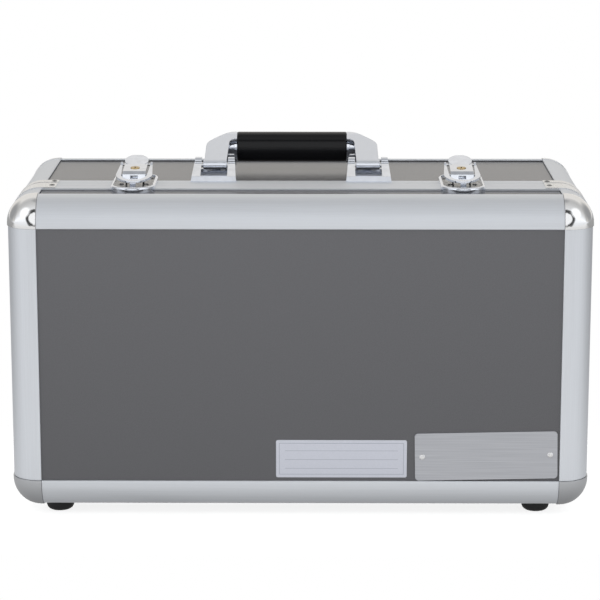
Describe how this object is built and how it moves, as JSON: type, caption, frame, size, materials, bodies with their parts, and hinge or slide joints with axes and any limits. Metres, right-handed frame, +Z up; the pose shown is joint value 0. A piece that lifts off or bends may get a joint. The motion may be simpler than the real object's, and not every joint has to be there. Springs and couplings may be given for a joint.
{
  "type": "pedal carrying case",
  "caption": "Hard case with aluminium edges that opens on bottom hinges, shut by key-locking draw latches and carried by a folding top handle.",
  "frame": {"origin": "middle of the case on the surface its feet stand on", "axes": "+X along the case's width, +Y from the lid to the base's back, +Z up"},
  "size_m": [0.4602, 0.2204, 0.2891],
  "materials": {
    "panel": "grey laminate on board, satin",
    "rail": "satin anodised",
    "chrome": "bright plated",
    "steel": "bright zinc",
    "brass": "worn",
    "grip": "black, soft gloss",
    "rubber": "matte black",
    "lining": "black foam",
    "plate": "brushed",
    "label": "white, blank"
  },
  "bodies": {
    "base": {"base_back_panel": "panel", "base_top_panel": "panel", "base_bottom_panel": "panel", "base_side_panels": "panel", "base_cross_rails": "rail", "base_upright_rails": "rail", "base_corner_rails": "rail", "base_closure_frame": "rail", "base_corner_caps": "chrome", "base_corner_clips": "steel", "base_lining": "lining", "base_feet": "rubber", "base_foot_screws": "steel", "base_hinge_leaves": "steel", "hinge_pins": "steel", "base_rivets": "steel", "left_latch_base": "chrome", "right_latch_base": "chrome", "lever_pins": "steel", "left_handle_frame": "chrome", "right_handle_frame": "chrome", "handle_pins": "steel"},
    "lid": {"lid_front_panel": "panel", "lid_top_panel": "panel", "lid_bottom_panel": "panel", "lid_side_panels": "panel", "lid_cross_rails": "rail", "lid_upright_rails": "rail", "lid_corner_rails": "rail", "lid_closure_frame": "rail", "lid_corner_caps": "chrome", "lid_corner_clips": "steel", "lid_lining": "lining", "lid_feet": "rubber", "lid_foot_screws": "steel", "lid_hinge_leaves": "steel", "lid_rivets": "steel", "name_plate": "plate", "name_plate_rivets": "steel", "write_on_label": "label", "left_strike": "chrome", "right_strike": "chrome"},
    "left_lever": {"left_lever": "chrome", "left_bail_pin": "steel", "left_lock_case": "brass"},
    "right_lever": {"right_lever": "chrome", "right_bail_pin": "steel", "right_lock_case": "brass"},
    "left_bail": {"left_bail": "chrome"},
    "right_bail": {"right_bail": "chrome"},
    "left_lock": {"left_lock_plug": "brass"},
    "right_lock": {"right_lock_plug": "brass"},
    "handle": {"left_handle_arm": "chrome", "right_handle_arm": "chrome", "handle_grip": "grip", "handle_core": "steel", "handle_ferrules": "chrome"}
  },
  "joints": [
    {"name": "lid_hinge", "type": "hinge", "parent": "base", "child": "lid", "pos_m": [0, -0.038, 0.0065], "axis": [1, 0, 0], "range_deg": [0, 100]},
    {"name": "handle_swing", "type": "hinge", "parent": "base", "child": "handle", "pos_m": [-0.0077, 0.003, 0.2681], "axis": [1, 0, 0], "range_deg": [0, 95]},
    {"name": "left_lever_lift", "type": "hinge", "parent": "base", "child": "left_lever", "pos_m": [-0.1325, -0.0435, 0.2668], "axis": [1, 0, 0], "range_deg": [0, 90]},
    {"name": "left_bail_swing", "type": "hinge", "parent": "left_lever", "child": "left_bail", "pos_m": [-0.1325, -0.0145, 0.271], "axis": [1, 0, 0], "range_deg": [-99, 0]},
    {"name": "left_lock_turn", "type": "hinge", "parent": "left_lever", "child": "left_lock", "pos_m": [-0.1325, -0.03353, 0.27142], "axis": [0, -0.0785, 0.9969], "range_deg": [0, 90]},
    {"name": "right_lever_lift", "type": "hinge", "parent": "base", "child": "right_lever", "pos_m": [0.1285, -0.0435, 0.2668], "axis": [1, 0, 0], "range_deg": [0, 90]},
    {"name": "right_bail_swing", "type": "hinge", "parent": "right_lever", "child": "right_bail", "pos_m": [0.1285, -0.0145, 0.271], "axis": [1, 0, 0], "range_deg": [-99, 0]},
    {"name": "right_lock_turn", "type": "hinge", "parent": "right_lever", "child": "right_lock", "pos_m": [0.1285, -0.03353, 0.27142], "axis": [0, -0.0785, 0.9969], "range_deg": [0, 90]}
  ],
  "couplings": [
    {"joint": "left_bail_swing", "follows": "left_lever_lift", "ratio": -1.1},
    {"joint": "right_bail_swing", "follows": "right_lever_lift", "ratio": -1.1}
  ]
}
